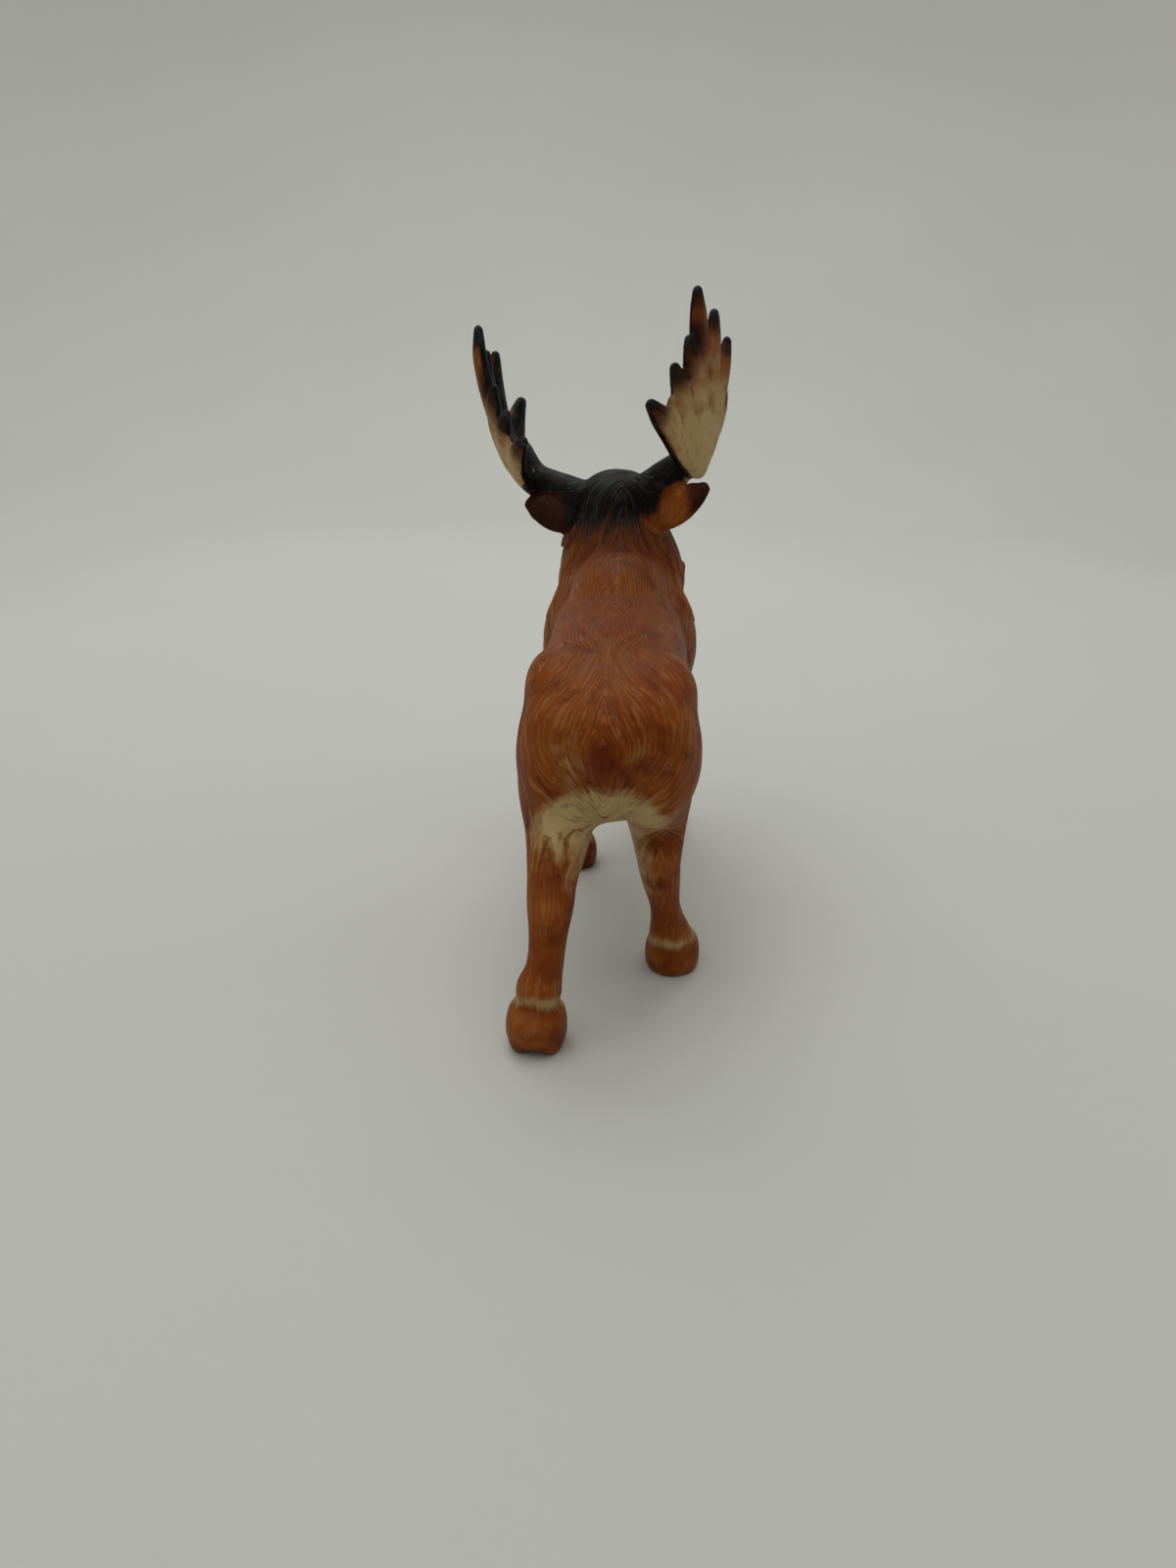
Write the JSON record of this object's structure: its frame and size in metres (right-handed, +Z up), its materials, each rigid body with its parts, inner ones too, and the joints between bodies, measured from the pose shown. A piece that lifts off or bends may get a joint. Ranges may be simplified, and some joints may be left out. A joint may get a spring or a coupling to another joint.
{
  "type": "moose figurine",
  "caption": "Small moulded plastic figurine of a walking bull moose with a turned head, cupped palmate antlers, a hanging bell and a carved coat, standing on its hooves.",
  "frame": {"origin": "on the floor, under the middle of the figurine's bounding box", "axes": "+Z up, the head towards -Y, the animal's left side towards +X"},
  "size_m": [0.0462, 0.1042, 0.1053],
  "materials": {
    "painted_plastic": "semi-matte moulded plastic, orange-brown with airbrushed dark brown, black and cream"
  },
  "bodies": {
    "root": {"moose_figurine": "painted_plastic"}
  },
  "joints": []
}
